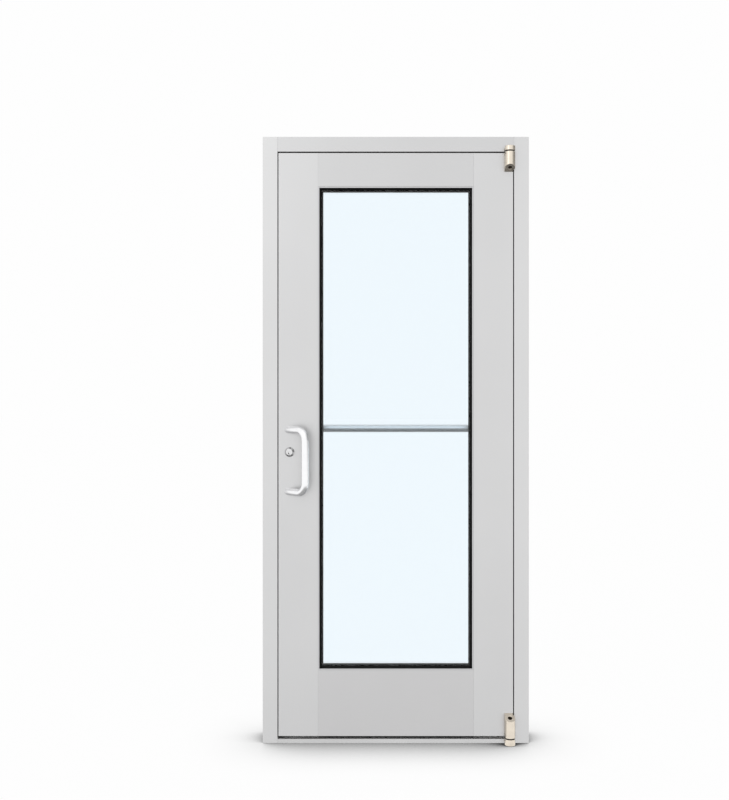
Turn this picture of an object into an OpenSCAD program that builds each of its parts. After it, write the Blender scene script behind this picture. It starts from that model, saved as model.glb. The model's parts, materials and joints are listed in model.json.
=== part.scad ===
// Glazed aluminium entrance door: one leaf on offset pivots in a tubular frame.
// X runs along the wall with the pivots at +X, Y runs into the room, Z is up.
// The origin is on the floor, at the middle of the frame's width and depth.
// The leaf lies flush with the outside face of the frame and opens outwards, towards -Y.

/* [Frame] */
// Clear width between the jambs
opening_w = 812.8; // [700:1:1100]
// Height from the floor to the underside of the header
opening_h = 2032; // [1900:1:2500]
// Width of a jamb's face and height of the header
frame_face = 50.8; // [44:0.1:64]
// Depth of the frame through the wall
frame_depth = 114.3; // [100:0.1:150]
// Wall of the frame and leaf tubes
tube_wall = 3.2; // [2:0.1:4]
// Height of the threshold
threshold_h = 17; // [15:0.5:19]
// Run of the threshold's front and rear bevels
threshold_bevel = 6; // [2:0.5:9]
// How far the snap-in door stop stands out from the frame
stop_h = 15.9; // [12:0.1:18]
// Width of the door stop along the frame's depth
stop_w = 38; // [30:1:44]
// Wall of the door stop
stop_wall = 1.8; // [1.2:0.1:2.5]

/* [Leaf] */
// Thickness of the leaf
leaf_t = 44.45; // [44:0.05:57]
// Gap between the leaf and each jamb
side_gap = 3.175; // [3:0.1:5]
// Gap between the leaf and the header
top_gap = 4.8; // [4:0.1:8]
// Gap between the leaf and the threshold
bottom_gap = 7; // [6:0.5:9]
// Width of the stiles
stile_w = 136; // [110:1:160]
// Height of the top rail
top_rail_h = 115; // [90:1:160]
// Height of the bottom rail
bottom_rail_h = 227; // [180:1:300]
// Depth of the glazing pocket in the stiles and rails
pocket_d = 12.2; // [10:0.1:15]
// Depth of the sweep channel under the bottom rail
sweep_channel = 10; // [8:0.5:14]

/* [Glazing] */
// Thickness of each pane
pane_t = 6.35; // [4:0.05:8]
// Air space between the panes
air_t = 12.7; // [10:0.1:14]
// Gap from the pane's edge to the bottom of the pocket
edge_gap = 4.2; // [3:0.1:6]
// Height of the glazing stop's visible lip
stop_lip = 4.6; // [3:0.1:8]
// Thickness of the glazing stop
stop_t = 5.2; // [4.6:0.1:6]
// Visible width of the black gasket
gasket_sight = 7.6; // [4:0.1:10]
// Width of the black edge spacer seen beyond the gasket
spacer_sight = 4.4; // [2:0.1:8]

/* [Pivots] */
// Distance of the pivot axis from the leaf's edge
pivot_in = 12.7; // [12:0.1:16]
// Distance of the pivot axis in front of the leaf's face
pivot_out = 19.05; // [19:0.05:25]
// Diameter of the pivot barrels
barrel_d = 35; // [30:0.5:36]
// Height of the top frame barrel
top_barrel_h = 16; // [12:0.5:20]
// Height of the leaf barrels at their front
leaf_barrel_h = 45; // [40:1:60]
// Extra height of the bottom leaf barrel at its front
bottom_extra_h = 12; // [8:1:24]
// Rise of a leaf barrel's slanted end from front to leaf
slant_rise = 20; // [10:1:28]
// Diameter of the pivot pins
pin_d = 12.7; // [10:0.1:14]
// Thickness of the pivot arms
arm_t = 8; // [6:0.5:8]
// Room between the pivot arms and the wall of the glazing pocket
arm_room = 28.6; // [10:0.1:40]
// Height of the gap between frame and leaf barrels
barrel_gap = 4; // [3:0.5:4.5]

/* [Pull and push bar] */
// Distance of the pull's feet and the cylinder from the leaf's edge
backset = 38.1; // [32:0.1:50]
// Diameter of the pull's bar
pull_d = 25.4; // [19:0.1:28]
// Height of the pull's lower foot
pull_z = 864; // [800:1:880]
// Distance between the pull's feet
pull_feet = 213; // [204:1:300]
// How far the pull's grip stands off the leaf
pull_out = 59.3; // [50:0.1:75]
// Bend radius of the pull on its centre line
pull_bend = 36; // [26:1:40]
// Diameter of the push bar
push_d = 28.6; // [25:0.1:32]
// Wall of the push bar
push_wall = 2.5; // [1.5:0.1:3]
// How far the push bar's centre stands off the leaf
push_out = 66; // [60:1:90]
// Bend radius of the push bar on its centre line
push_bend = 38; // [30:1:42]
// Diameter of the through bolts
bolt_d = 8; // [6:0.5:10]

/* [Lock] */
// Height of the middle of the lock case
lock_z = 980; // [970:1:990]
// Height of the lock case
case_h = 152; // [150:1:156]
// Thickness of the lock case
case_t = 25.4; // [22:0.1:28]
// Depth of the lock case behind the leaf's edge
case_d = 58; // [56:1:70]
// Height of the lock's face plate
faceplate_h = 176; // [172:1:184]
// Thickness of the lock's face plate
faceplate_t = 3; // [2:0.1:3]
// Height of the cylinder above the middle of the case
cylinder_up = 20; // [18:1:24]
// Diameter of the cylinder's threaded body
cylinder_d = 29.2; // [28:0.1:30]
// Outer diameter of the cylinder's collar
collar_d = 33; // [32:0.5:40]
// Diameter of the key plug
plug_d = 12.7; // [11:0.1:13]
// Offset of the key plug from the cylinder's centre
plug_off = 4.5; // [3:0.1:5]
// Throw of the deadbolt beyond the leaf's edge
bolt_throw = 35; // [25:1:36]
// Height of the deadbolt when thrown
bolt_w = 19; // [16:0.5:20]
// Thickness of the deadbolt
bolt_t = 12.7; // [10:0.1:14]

/* [Hidden] */
$fn = 64;

fit = 0.25;             // clearance of pieces that slide into each other
running = 0.06;         // radial clearance of a turning pin
screw_r = 2.4;          // shank radius of the small screws
screw_head_r = 4.6;     // head radius of the small screws
screw_head_h = 2.6;     // height of a countersunk head
anchor_r = 3.5;         // radius of the jamb anchor holes
anchor_access_r = 7;    // radius of the access holes over the anchors
screw_access_r = 5.6;   // radius of the access holes over the frame screws
floor_hole_r = 3.2;     // radius of the threshold's floor screw holes
over = 1;               // how far a cut runs past the solid it cuts

frame_half = opening_w / 2 + frame_face;
frame_h = opening_h + frame_face;
jamb_in = opening_w / 2;
front_y = -frame_depth / 2;
back_y = frame_depth / 2;

leaf_front = front_y;
leaf_back = front_y + leaf_t;
leaf_mid = front_y + leaf_t / 2;
leaf_edge = jamb_in - side_gap;
leaf_bottom = threshold_h + bottom_gap;
leaf_top = opening_h - top_gap;
inner_front = leaf_front + tube_wall;
inner_back = leaf_back - tube_wall;

seam_x = leaf_edge - stile_w;
seam_top = leaf_top - top_rail_h;
seam_bottom = leaf_bottom + bottom_rail_h;
pocket_x = seam_x + pocket_d;
pocket_top = seam_top + pocket_d;
pocket_bottom = seam_bottom - pocket_d;

igu_t = 2 * pane_t + air_t;
glass_x = pocket_x - edge_gap;
glass_top = pocket_top - edge_gap;
glass_bottom = pocket_bottom + edge_gap;
glass_front = leaf_mid - igu_t / 2;
glass_back = leaf_mid + igu_t / 2;
pane_depth = glass_front - leaf_front;
border = stop_lip + gasket_sight + spacer_sight;
// Glazing stop: first number runs from the seam into the glass opening, second into the leaf.
// Its web hides behind the tube's wall and its lip lies flush with the face.
glazing_profile = [[fit, 0], [stop_lip, 0], [stop_lip, stop_t], [-pocket_d + 0.2, stop_t],
    [-pocket_d + 0.2, tube_wall + 0.1], [fit, tube_wall + 0.1]];
// The gasket fills the room between stop and glass, with a wedge-shaped visible edge
gasket_profile = [[-pocket_d / 2, stop_t], [stop_lip, stop_t], [stop_lip, 3.4],
    [stop_lip + 2.6, 3.4], [stop_lip + gasket_sight, pane_depth - 2.2],
    [stop_lip + gasket_sight, pane_depth], [-pocket_d / 2, pane_depth]];

spline_r = 5;           // radius of the screw splines in the header and threshold
spline_off = 4;         // distance of a spline's centre from its wall, which it is sunk into
spline_y = 38;
threshold_top_t = 3.2;
threshold_rib_t = 4;
threshold_roof = threshold_h - threshold_top_t;
floor_x = 250;          // half the spacings of the floor screws
floor_y = 18;
// Screw splines, as places in Y and Z: three in the header and, below, two in the threshold
header_splines = [[-spline_y, frame_h - tube_wall - spline_off],
    [spline_y, frame_h - tube_wall - spline_off], [spline_y, opening_h + tube_wall + spline_off]];

door_stop_gap = 4;      // space for the weatherstrip between leaf and door stop
stop_front = leaf_back + door_stop_gap;
strip_front = leaf_back + 1.7;      // the heel of the leaf sweeps 1.3 behind its back
strip_inset = 3;
strip_w = 8;
anchor_y = stop_front + stop_w / 2;
anchor_z = [200, 740, 1320, 1860];
// A door stop is a channel that is open towards the frame; first number 0 is the frame's face
stop_profile = [[0, stop_front], [-stop_h, stop_front], [-stop_h, stop_front + stop_w],
    [0, stop_front + stop_w], [0, stop_front + stop_w - stop_wall],
    [-stop_h + stop_wall, stop_front + stop_w - stop_wall],
    [-stop_h + stop_wall, stop_front + stop_wall], [0, stop_front + stop_wall]];

pivot_x = leaf_edge - pivot_in;
pivot_y = leaf_front - pivot_out;
barrel_r = barrel_d / 2;
pin_r = pin_d / 2;
top_barrel_z = leaf_top + barrel_gap;
bottom_barrel_z = leaf_bottom + 2 - barrel_gap;
leaf_arm_z = [leaf_top - arm_t, leaf_bottom + 2];
neck_right = pivot_in - 0.5;
arm_inner_x = leaf_edge - tube_wall - 0.5;
arm_end_x = pocket_x + tube_wall + arm_room;
frame_arm_z = [opening_h + tube_wall, 3];
seat_d = 14.2;          // bore over the adjusting screw
arm_y = [inner_front + fit, inner_back - fit];
neck_back = arm_y[0] + 1;
spline_behind_arm = 9.15;   // from the bottom arm's back edge to the threshold's front spline
threshold_splines = [[arm_y[1] + spline_behind_arm, threshold_roof - spline_off],
    [spline_y, threshold_roof - spline_off]];
frame_screw_places = concat(header_splines, threshold_splines);
screw_rows = [18, 60];  // distances of the arm screws from the arm's inner end
arm_screw_x = [arm_end_x + screw_rows[0], arm_end_x + screw_rows[1]];
arm_screw_y = [arm_y[0] + 9, arm_y[1] - 9];
pin_engage = 30;        // length of pin in a leaf barrel
block_t = 20;           // height of the mounting blocks in the hinge stile

rod_r = 4.76;
rod_z = [leaf_top - 60, leaf_bottom + 60, leaf_bottom + 150];
rod_hole_r = rod_r + 0.5;
nut_h = 8;
block_l = 38;           // length of a corner block inside the rail
corner_block_z = [[pocket_top + tube_wall + fit, leaf_top - tube_wall - fit],
    [leaf_bottom + sweep_channel + tube_wall + fit, pocket_bottom - tube_wall - fit]];

foot_x = -(leaf_edge - backset);
pull_r = pull_d / 2;
pull_top_z = pull_z + pull_feet;
pull_leg = pull_out * sqrt(2);
push_r = push_d / 2;
push_half = leaf_edge - backset;
spigot_r = push_r - push_wall - 0.2;
spigot_h = 18;
flange_r = 20;
flange_t = 4;
bolt_r = bolt_d / 2;
bolt_in_pull = 12;      // depth of the threaded hole in the pull's feet
bolt_head_h = 6;

case_z = [lock_z - case_h / 2, lock_z + case_h / 2];
case_x = [-(leaf_edge - tube_wall), -(leaf_edge - case_d)];
case_y = [leaf_mid - case_t / 2, leaf_mid + case_t / 2];
case_wall = 2;
case_end = 8;
faceplate_z = [lock_z - faceplate_h / 2, lock_z + faceplate_h / 2];
tab_h = 26;
tab_screw_z = [faceplate_z[0] - 16, faceplate_z[1] + 16];
face_screw_z = [faceplate_z[0] + 5.5, faceplate_z[1] - 5.5];
cyl_z = lock_z + cylinder_up;
cyl_r = cylinder_d / 2;
collar_r = collar_d / 2;
collar_h = 6.5;
head_h = 2.5;           // height of the cylinder's head above its collar
plug_r = plug_d / 2;
plug_turn = 28;         // turn of the fitted cylinder from upright
plug_x = foot_x - plug_off * sin(plug_turn);
plug_z = cyl_z - plug_off * cos(plug_turn);
cam_t = 2;
cam_r = 12.5;
cam_front = case_y[0] + case_wall + 0.3;
cam_back = case_y[1] - case_wall - 0.3;
turn_l = 34;            // length of the thumb turn's lever
turn_out = 20;          // how far the thumb turn stands off its cylinder
swing_x = -(leaf_edge - faceplate_t - 1 - bolt_w / 2);
swing_z = lock_z - 50;
swing_l = bolt_throw + leaf_edge + swing_x;
swing_r = sqrt(pow(swing_l, 2) + pow(bolt_w / 2, 2));
slot_y = [leaf_mid - bolt_t / 2 - 0.5, leaf_mid + bolt_t / 2 + 0.5];
slot_z = [swing_z - bolt_w / 2 - 1, swing_z + swing_r + 1];
strike_mid = (slot_z[0] + slot_z[1]) / 2;
strike_half = (slot_z[1] - slot_z[0]) / 2 + 31;
strike_w = 32;
strike_t = 2.4;
strike_screw_z = strike_half - 12;
bolt_pin_r = 3;

// ---------------------------------------------------------------- helpers

// Box between two corners, given as a pair for each axis
module block(x, y, z) {
    translate([x[0], y[0], z[0]]) cube([x[1] - x[0], y[1] - y[0], z[1] - z[0]]);
}

// Round bar or hole along X, Y or Z, between two places on that axis
module rod_x(x, y, z, r) {
    translate([x[0], y, z]) rotate([0, 90, 0]) cylinder(r = r, h = x[1] - x[0]);
}

module rod_y(x, y, z, r) {
    translate([x, y[0], z]) rotate([-90, 0, 0]) cylinder(r = r, h = y[1] - y[0]);
}

module rod_z(x, y, z, r) {
    translate([x, y, z[0]]) cylinder(r = r, h = z[1] - z[0]);
}

// Extrusion of a Y-Z outline along X
module along_x(x) {
    translate([x[0], 0, 0]) rotate([90, 0, 90]) linear_extrude(height = x[1] - x[0]) children();
}

module along_z(z) {
    translate([0, 0, z[0]]) linear_extrude(height = z[1] - z[0]) children();
}

module rect(x, y) {
    translate([x[0], y[0]]) square([x[1] - x[0], y[1] - y[0]]);
}

// Points of a profile moved to a corner, with each direction's sign
function placed(profile, a, sa, b, sb) = [for (p = profile) [a + sa * p[0], b + sb * p[1]]];
function swapped(profile) = [for (p = profile) [p[1], p[0]]];

// Countersunk screw along Z with its head's face at z, pointing down for dir -1 and up for dir 1
module screw_z(x, y, z, l, dir) {
    translate([x, y, z]) mirror([0, 0, dir < 0 ? 1 : 0]) {
        difference() {
            cylinder(r1 = screw_head_r, r2 = screw_r, h = screw_head_h);
            translate([0, 0, -over]) cylinder(r = 1.6, h = over + 1.4, $fn = 6);
        }
        cylinder(r = screw_r, h = l);
    }
}

// Countersunk screw along X with its head's face at x, pointing to dir
module screw_x(x, y, z, l, dir) {
    translate([x, y, z]) rotate([0, 90 * dir, 0]) {
        difference() {
            cylinder(r1 = screw_head_r, r2 = screw_r, h = screw_head_h);
            translate([0, 0, -over]) cylinder(r = 1.6, h = over + 1.4, $fn = 6);
        }
        cylinder(r = screw_r, h = l);
    }
}

// Hole for either screw, with its countersink
module screw_hole(l) {
    cylinder(r1 = screw_head_r + 0.15, r2 = screw_r + 0.15, h = screw_head_h);
    translate([0, 0, -over]) cylinder(r = screw_r + 0.15, h = l + over);
    translate([0, 0, -over]) cylinder(r = screw_head_r + 0.15, h = over);
}

module screw_hole_x(x, y, z, l, dir) {
    translate([x, y, z]) rotate([0, 90 * dir, 0]) screw_hole(l);
}

module screw_hole_z(x, y, z, l, dir) {
    translate([x, y, z]) mirror([0, 0, dir < 0 ? 1 : 0]) screw_hole(l);
}

// ---------------------------------------------------------------- frame

module jamb_tube() {
    difference() {
        block([jamb_in, frame_half], [front_y, back_y], [0, frame_h]);
        block([jamb_in + tube_wall, frame_half - tube_wall],
            [front_y + tube_wall, back_y - tube_wall], [-over, frame_h + over]);
        for (z = anchor_z) {
            rod_x([jamb_in - over, jamb_in + tube_wall + over], anchor_y, z, anchor_access_r);
            rod_x([frame_half - tube_wall - over, frame_half + over], anchor_y, z, anchor_r);
        }
        for (place = frame_screw_places) {
            rod_x([jamb_in - over, jamb_in + tube_wall + over], place[0], place[1], screw_r + 0.2);
            rod_x([frame_half - tube_wall - over, frame_half + over], place[0], place[1],
                screw_access_r);
        }
    }
}

module hinge_jamb() {
    color("gainsboro") jamb_tube();
}

module strike_jamb() {
    color("gainsboro") difference() {
        mirror([1, 0, 0]) jamb_tube();
        block([-jamb_in - tube_wall - over, -jamb_in + over],
            [leaf_mid - strike_w / 2, leaf_mid + strike_w / 2],
            [strike_mid - strike_half, strike_mid + strike_half]);
    }
}

module spline(x, place) {
    rod_x(x, place[0], place[1], spline_r);
}

module header() {
    x = [-jamb_in, jamb_in];
    color("gainsboro") difference() {
        union() {
            difference() {
                block(x, [front_y, back_y], [opening_h, frame_h]);
                block([x[0] - over, x[1] + over], [front_y + tube_wall, back_y - tube_wall],
                    [opening_h + tube_wall, frame_h - tube_wall]);
            }
            for (place = header_splines) spline(x, place);
        }
        for (place = header_splines)
            rod_x([x[0] - over, x[1] + over], place[0], place[1], screw_r + 0.05);
        block([pivot_x - barrel_r, pivot_x + neck_right + fit],
            [front_y - over, neck_back + fit],
            [opening_h + tube_wall, opening_h + tube_wall + arm_t + fit]);
        for (x = arm_screw_x) for (y = arm_screw_y)
            screw_hole_z(x, y, opening_h, tube_wall + over, 1);
    }
}

module threshold() {
    x = [-jamb_in, jamb_in];
    color("darkgray") difference() {
        union() {
            along_x(x) difference() {
                polygon([[front_y, 0], [front_y, threshold_h - threshold_bevel / 2],
                    [front_y + threshold_bevel, threshold_h], [back_y - threshold_bevel, threshold_h],
                    [back_y, threshold_h - threshold_bevel / 2], [back_y, 0]]);
                for (side = [-1, 1])
                    rect([side * frame_depth / 4 - frame_depth / 4 + threshold_rib_t,
                        side * frame_depth / 4 + frame_depth / 4 - threshold_rib_t],
                        [-over, threshold_roof]);
            }
            for (place = threshold_splines) spline(x, place);
        }
        for (place = threshold_splines)
            rod_x([x[0] - over, x[1] + over], place[0], place[1], screw_r + 0.05);
        block([pivot_x - barrel_r, jamb_in + over], [front_y - over, neck_back + fit],
            [-over, frame_arm_z[1] + arm_t + fit]);
        block([arm_end_x - 1, jamb_in + over], [arm_y[0] - fit, arm_y[1] + 1],
            [-over, frame_arm_z[1] + arm_t + fit]);
        for (x = arm_screw_x) for (y = arm_screw_y)
            screw_hole_z(x, y, threshold_h, threshold_h, -1);
        for (x = [-floor_x, floor_x]) for (y = [-floor_y, floor_y])
            rod_z(x, y, [-over, threshold_h + over], floor_hole_r);
    }
}

module upright_door_stop(side) {
    along_z([threshold_h, opening_h]) polygon(placed(stop_profile, side * jamb_in, side, 0, 1));
}

module hinge_jamb_stop() {
    color("lightgray") upright_door_stop(1);
}

module strike_jamb_stop() {
    color("lightgray") upright_door_stop(-1);
}

module header_stop() {
    color("lightgray") along_x([-jamb_in + stop_h, jamb_in - stop_h])
        polygon(swapped(placed(stop_profile, opening_h, 1, 0, 1)));
}

// Bulb strip on the front of each door stop: a round nose that is flat against the stop
module strip_outline() {
    intersection() {
        translate([0, strip_front + strip_w / 2]) circle(r = strip_w / 2);
        rect([-strip_w, strip_w], [strip_front, stop_front]);
    }
}

module weatherstrips() {
    upright_x = jamb_in - strip_inset - strip_w / 2;
    level_half = jamb_in - stop_h - 1;
    level_z = opening_h - strip_inset - strip_w / 2;
    color("dimgray") {
        for (side = [-1, 1])
            along_z([threshold_h + 1, opening_h - 1]) translate([side * upright_x, 0])
                strip_outline();
        along_x([-level_half, level_half]) translate([0, level_z]) mirror([1, -1, 0])
            strip_outline();
    }
}

module frame_screws() {
    color("silver") for (side = [-1, 1]) for (place = frame_screw_places) {
        rod_x(side > 0 ? [jamb_in - 24, jamb_in + tube_wall] : [-jamb_in - tube_wall, -jamb_in + 24],
            place[0], place[1], screw_r);
        rod_x(side > 0 ? [jamb_in + tube_wall, jamb_in + tube_wall + 3]
            : [-jamb_in - tube_wall - 3, -jamb_in - tube_wall], place[0], place[1], screw_head_r);
    }
}

module strike_plate() {
    color("silver") difference() {
        block([-jamb_in - strike_t, -jamb_in],
            [leaf_mid - strike_w / 2 + fit, leaf_mid + strike_w / 2 - fit],
            [strike_mid - strike_half + fit, strike_mid + strike_half - fit]);
        block([-jamb_in - strike_t - over, -jamb_in + over], [slot_y[0] - 1, slot_y[1] + 1], slot_z);
        for (dir = [-1, 1])
            screw_hole_x(-jamb_in, leaf_mid, strike_mid + dir * strike_screw_z, 20, -1);
    }
}

module strike_backer() {
    back_x = -jamb_in - tube_wall;
    color("gray") difference() {
        union() {
            block([back_x - 3, back_x], [inner_front + fit, leaf_mid + strike_w / 2 + 8],
                [strike_mid - strike_half - 10, strike_mid + strike_half + 10]);
            for (dir = [-1, 1])
                block([back_x - 1, -jamb_in - strike_t], [leaf_mid - 8, leaf_mid + 8],
                    [strike_mid + dir * strike_screw_z - 8, strike_mid + dir * strike_screw_z + 8]);
        }
        block([back_x - 3 - over, back_x + over], [slot_y[0] - 1, slot_y[1] + 1], slot_z);
        for (dir = [-1, 1])
            rod_x([back_x - 4, back_x + 4], leaf_mid, strike_mid + dir * strike_screw_z,
                screw_r + 0.05);
    }
}

module strike_screws() {
    color("silver") for (dir = [-1, 1])
        screw_x(-jamb_in, leaf_mid, strike_mid + dir * strike_screw_z, 12, -1);
}

// ---------------------------------------------------------------- pivots

// Flat arm that lies in a tube, with a neck through the tube's front wall to the barrel
module pivot_arm(z, right) {
    difference() {
        union() {
            block([arm_end_x, right], arm_y, z);
            block([pivot_x - barrel_r + fit, pivot_x + neck_right], [pivot_y, neck_back], z);
        }
        for (x = arm_screw_x) for (y = arm_screw_y)
            rod_z(x, y, [z[0] - over, z[1] + over], screw_r + 0.05);
    }
}

// Barrel of a frame arm, with a small round on its outer end
module frame_barrel(z, rounded_top) {
    round_r = 2;
    translate([pivot_x, pivot_y, rounded_top ? z[0] : z[1]]) mirror([0, 0, rounded_top ? 0 : 1])
        rotate_extrude() difference() {
            union() {
                square([barrel_r, z[1] - z[0] - round_r]);
                square([barrel_r - round_r, z[1] - z[0]]);
                translate([barrel_r - round_r, z[1] - z[0] - round_r]) circle(r = round_r);
            }
            translate([-barrel_d, -barrel_d]) square([barrel_d, 3 * barrel_d]);
        }
}

module top_frame_pivot() {
    z = [top_barrel_z, top_barrel_z + top_barrel_h];
    arm_z = [frame_arm_z[0], frame_arm_z[0] + arm_t];
    color("tan") difference() {
        union() {
            pivot_arm(arm_z, jamb_in - 1);
            frame_barrel(z, true);
        }
        rod_z(pivot_x, pivot_y, [z[0] - over, z[1] - 2], pin_r + 0.01);
    }
}

module bottom_frame_pivot() {
    z = [0, bottom_barrel_z];
    arm_z = [frame_arm_z[1], frame_arm_z[1] + arm_t];
    color("tan") difference() {
        union() {
            pivot_arm(arm_z, jamb_in - 1);
            frame_barrel(z, false);
        }
        rod_z(pivot_x, pivot_y, [z[0] + 2, z[1] + over], pin_r + 0.01);
    }
}

module pivot_pins() {
    color("silver") {
        rod_z(pivot_x, pivot_y, [leaf_top - pin_engage, top_barrel_z + top_barrel_h - 2.5], pin_r);
        rod_z(pivot_x, pivot_y, [2.5, leaf_arm_z[1] + pin_engage], pin_r);
    }
}

module pivot_washers() {
    washer_r = barrel_r - 2.5;
    color("dimgray") for (z = [[leaf_top + 0.1, top_barrel_z], [bottom_barrel_z, leaf_arm_z[1] - 0.1]])
        difference() {
            rod_z(pivot_x, pivot_y, z, washer_r);
            rod_z(pivot_x, pivot_y, [z[0] - over, z[1] + over], pin_r + 0.01);
        }
}

module frame_pivot_screws() {
    color("silver") for (x = arm_screw_x) for (y = arm_screw_y) {
        screw_z(x, y, opening_h, tube_wall + arm_t - 1, 1);
        screw_z(x, y, threshold_h, threshold_h - frame_arm_z[1] - 1, -1);
    }
}

// Round-nosed barrel with a flat back on the leaf and one end cut on a slant.
// The slanted end is on top; the top pivot's barrel is the same shape upside down.
module leaf_barrel(h) {
    difference() {
        along_z([0, h + slant_rise]) {
            circle(r = barrel_r);
            rect([-barrel_r, neck_right], [0, pivot_out]);
        }
        translate([0, -barrel_r, h])
            rotate([atan(slant_rise / (barrel_r + pivot_out)), 0, 0])
                translate([-barrel_d, -barrel_d, 0]) cube([2 * barrel_d, 4 * barrel_d, barrel_d * 2]);
        translate([0, 0, -over]) cylinder(r = pin_r + running, h = pin_engage + 1 + over);
        translate([0, 0, pin_engage]) cylinder(r = seat_d / 2, h = h + slant_rise);
    }
}

module leaf_arm(z) {
    difference() {
        pivot_arm(z, arm_inner_x);
        rod_z(pivot_x, pivot_y, [z[0] - over, z[1] + over], barrel_r - 0.5);
    }
}

module top_leaf_pivot() {
    color("tan") {
        translate([pivot_x, pivot_y, leaf_top]) mirror([0, 0, 1]) leaf_barrel(leaf_barrel_h);
        leaf_arm([leaf_arm_z[0], leaf_top]);
    }
}

module bottom_leaf_pivot() {
    color("tan") {
        translate([pivot_x, pivot_y, leaf_arm_z[1]]) leaf_barrel(leaf_barrel_h + bottom_extra_h);
        leaf_arm([leaf_arm_z[1], leaf_arm_z[1] + arm_t]);
    }
}

module pivot_blocks() {
    block_z = [[leaf_arm_z[0] - block_t, leaf_arm_z[0]],
        [leaf_arm_z[1] + arm_t, leaf_arm_z[1] + arm_t + block_t]];
    color("gray") for (z = block_z) difference() {
        block([arm_end_x - 6, arm_inner_x], arm_y, z);
        for (x = arm_screw_x) for (y = arm_screw_y)
            rod_z(x, y, [z[0] - over, z[1] + over], screw_r + 0.05);
    }
}

module leaf_pivot_screws() {
    color("silver") for (x = arm_screw_x) for (y = arm_screw_y) {
        rod_z(x, y, [leaf_top - arm_t - 14, leaf_top], screw_r);
        rod_z(x, y, [leaf_arm_z[1], leaf_arm_z[1] + arm_t + 14], screw_r);
    }
}

module adjusting_screw() {
    difference() {
        cylinder(r = seat_d / 2 - 0.05, h = 12);
        translate([0, 0, 7]) cylinder(r = 4, h = 6, $fn = 6);
    }
}

module adjusting_screws() {
    start = pin_engage + 1.2;
    color("dimgray") {
        translate([pivot_x, pivot_y, leaf_top - start]) mirror([0, 0, 1]) adjusting_screw();
        translate([pivot_x, pivot_y, leaf_arm_z[1] + start]) adjusting_screw();
    }
}

// ---------------------------------------------------------------- leaf

// Plan of the hinge stile: a box tube with the glazing pocket open towards the glass
module stile_plan() {
    difference() {
        rect([seam_x, leaf_edge], [leaf_front, leaf_back]);
        rect([pocket_x + tube_wall, leaf_edge - tube_wall], [inner_front, inner_back]);
        rect([seam_x - over, pocket_x], [inner_front, inner_back]);
    }
}

module stile() {
    difference() {
        along_z([leaf_bottom, leaf_top]) stile_plan();
        for (z = rod_z)
            rod_x([pocket_x - over, pocket_x + tube_wall + over], leaf_mid, z, rod_hole_r);
    }
}

module hinge_stile() {
    notch_x = [pivot_x - barrel_r, pivot_x + neck_right + fit];
    notch_y = [leaf_front - over, neck_back + fit];
    color("gainsboro") difference() {
        stile();
        block(notch_x, notch_y, [leaf_arm_z[0] - fit, leaf_top + over]);
        block(notch_x, notch_y, [leaf_bottom - over, leaf_arm_z[1] + arm_t + fit]);
        rod_y(push_half, [inner_back - over, leaf_back + over], pull_top_z, bolt_r + 2);
    }
}

module lock_stile() {
    color("gainsboro") difference() {
        mirror([1, 0, 0]) stile();
        rod_y(foot_x, [leaf_front - over, leaf_back + over], cyl_z, cyl_r + 0.4);
        for (z = [pull_z, pull_top_z])
            rod_y(foot_x, [leaf_front - over, leaf_back + over], z, bolt_r + 0.25);
        block([-leaf_edge - over, -leaf_edge + tube_wall + over], case_y, faceplate_z);
        for (z = tab_screw_z)
            screw_hole_x(-leaf_edge, leaf_mid, z, 20, 1);
    }
}

module rail_ends() {
    along_x([-seam_x, seam_x]) children();
}

module top_rail() {
    color("gainsboro") rail_ends() difference() {
        rect([leaf_front, leaf_back], [seam_top, leaf_top]);
        rect([inner_front, inner_back], [pocket_top + tube_wall, leaf_top - tube_wall]);
        rect([inner_front, inner_back], [seam_top - over, pocket_top]);
    }
}

module bottom_rail() {
    color("gainsboro") rail_ends() difference() {
        rect([leaf_front, leaf_back], [leaf_bottom, seam_bottom]);
        rect([inner_front, inner_back],
            [leaf_bottom + sweep_channel + tube_wall, pocket_bottom - tube_wall]);
        rect([inner_front, inner_back], [pocket_bottom, seam_bottom + over]);
        rect([inner_front, inner_back], [leaf_bottom - over, leaf_bottom + sweep_channel]);
    }
}

module corner_blocks() {
    color("gray") for (side = [0, 1]) for (z = corner_block_z) mirror([side, 0, 0]) difference() {
        block([seam_x - block_l, pocket_x], [inner_front + 0.1, inner_back - 0.1], z);
        for (place = rod_z)
            rod_x([seam_x - block_l - over, pocket_x + over], leaf_mid, place, rod_hole_r);
    }
}

module tie_rods() {
    end = pocket_x + tube_wall + nut_h + 3;
    color("silver") for (z = rod_z) rod_x([-end, end], leaf_mid, z, rod_r);
}

module tie_rod_nuts() {
    x = pocket_x + tube_wall;
    color("silver") for (side = [0, 1]) for (z = rod_z) mirror([side, 0, 0]) difference() {
        translate([x, leaf_mid, z]) rotate([0, 90, 0]) cylinder(r = 8.2, h = nut_h, $fn = 6);
        rod_x([x - over, x + nut_h + over], leaf_mid, z, rod_r + 0.02);
    }
}

module pane(y) {
    block([-glass_x, glass_x], y, [glass_bottom, glass_top]);
}

module outer_pane() {
    color("azure", 0.4) pane([glass_front, glass_front + pane_t]);
}

module inner_pane() {
    color("azure", 0.4) pane([glass_back - pane_t, glass_back]);
}

module edge_spacer() {
    y = [glass_front + pane_t, glass_back - pane_t];
    color("black") difference() {
        block([-glass_x + 0.5, glass_x - 0.5], y, [glass_bottom + 0.5, glass_top - 0.5]);
        block([-seam_x + border, seam_x - border], [y[0] - over, y[1] + over],
            [seam_bottom + border, seam_top - border]);
    }
}

module setting_blocks() {
    color("dimgray") for (x = [-glass_x / 2, glass_x / 2])
        block([x - 50, x + 50], [glass_front - 1, glass_back + 1], [pocket_bottom, glass_bottom]);
}

module upright_strip(profile, side, face, dir, z) {
    along_z(z) polygon(placed(profile, side * seam_x, -side, face, dir));
}

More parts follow.
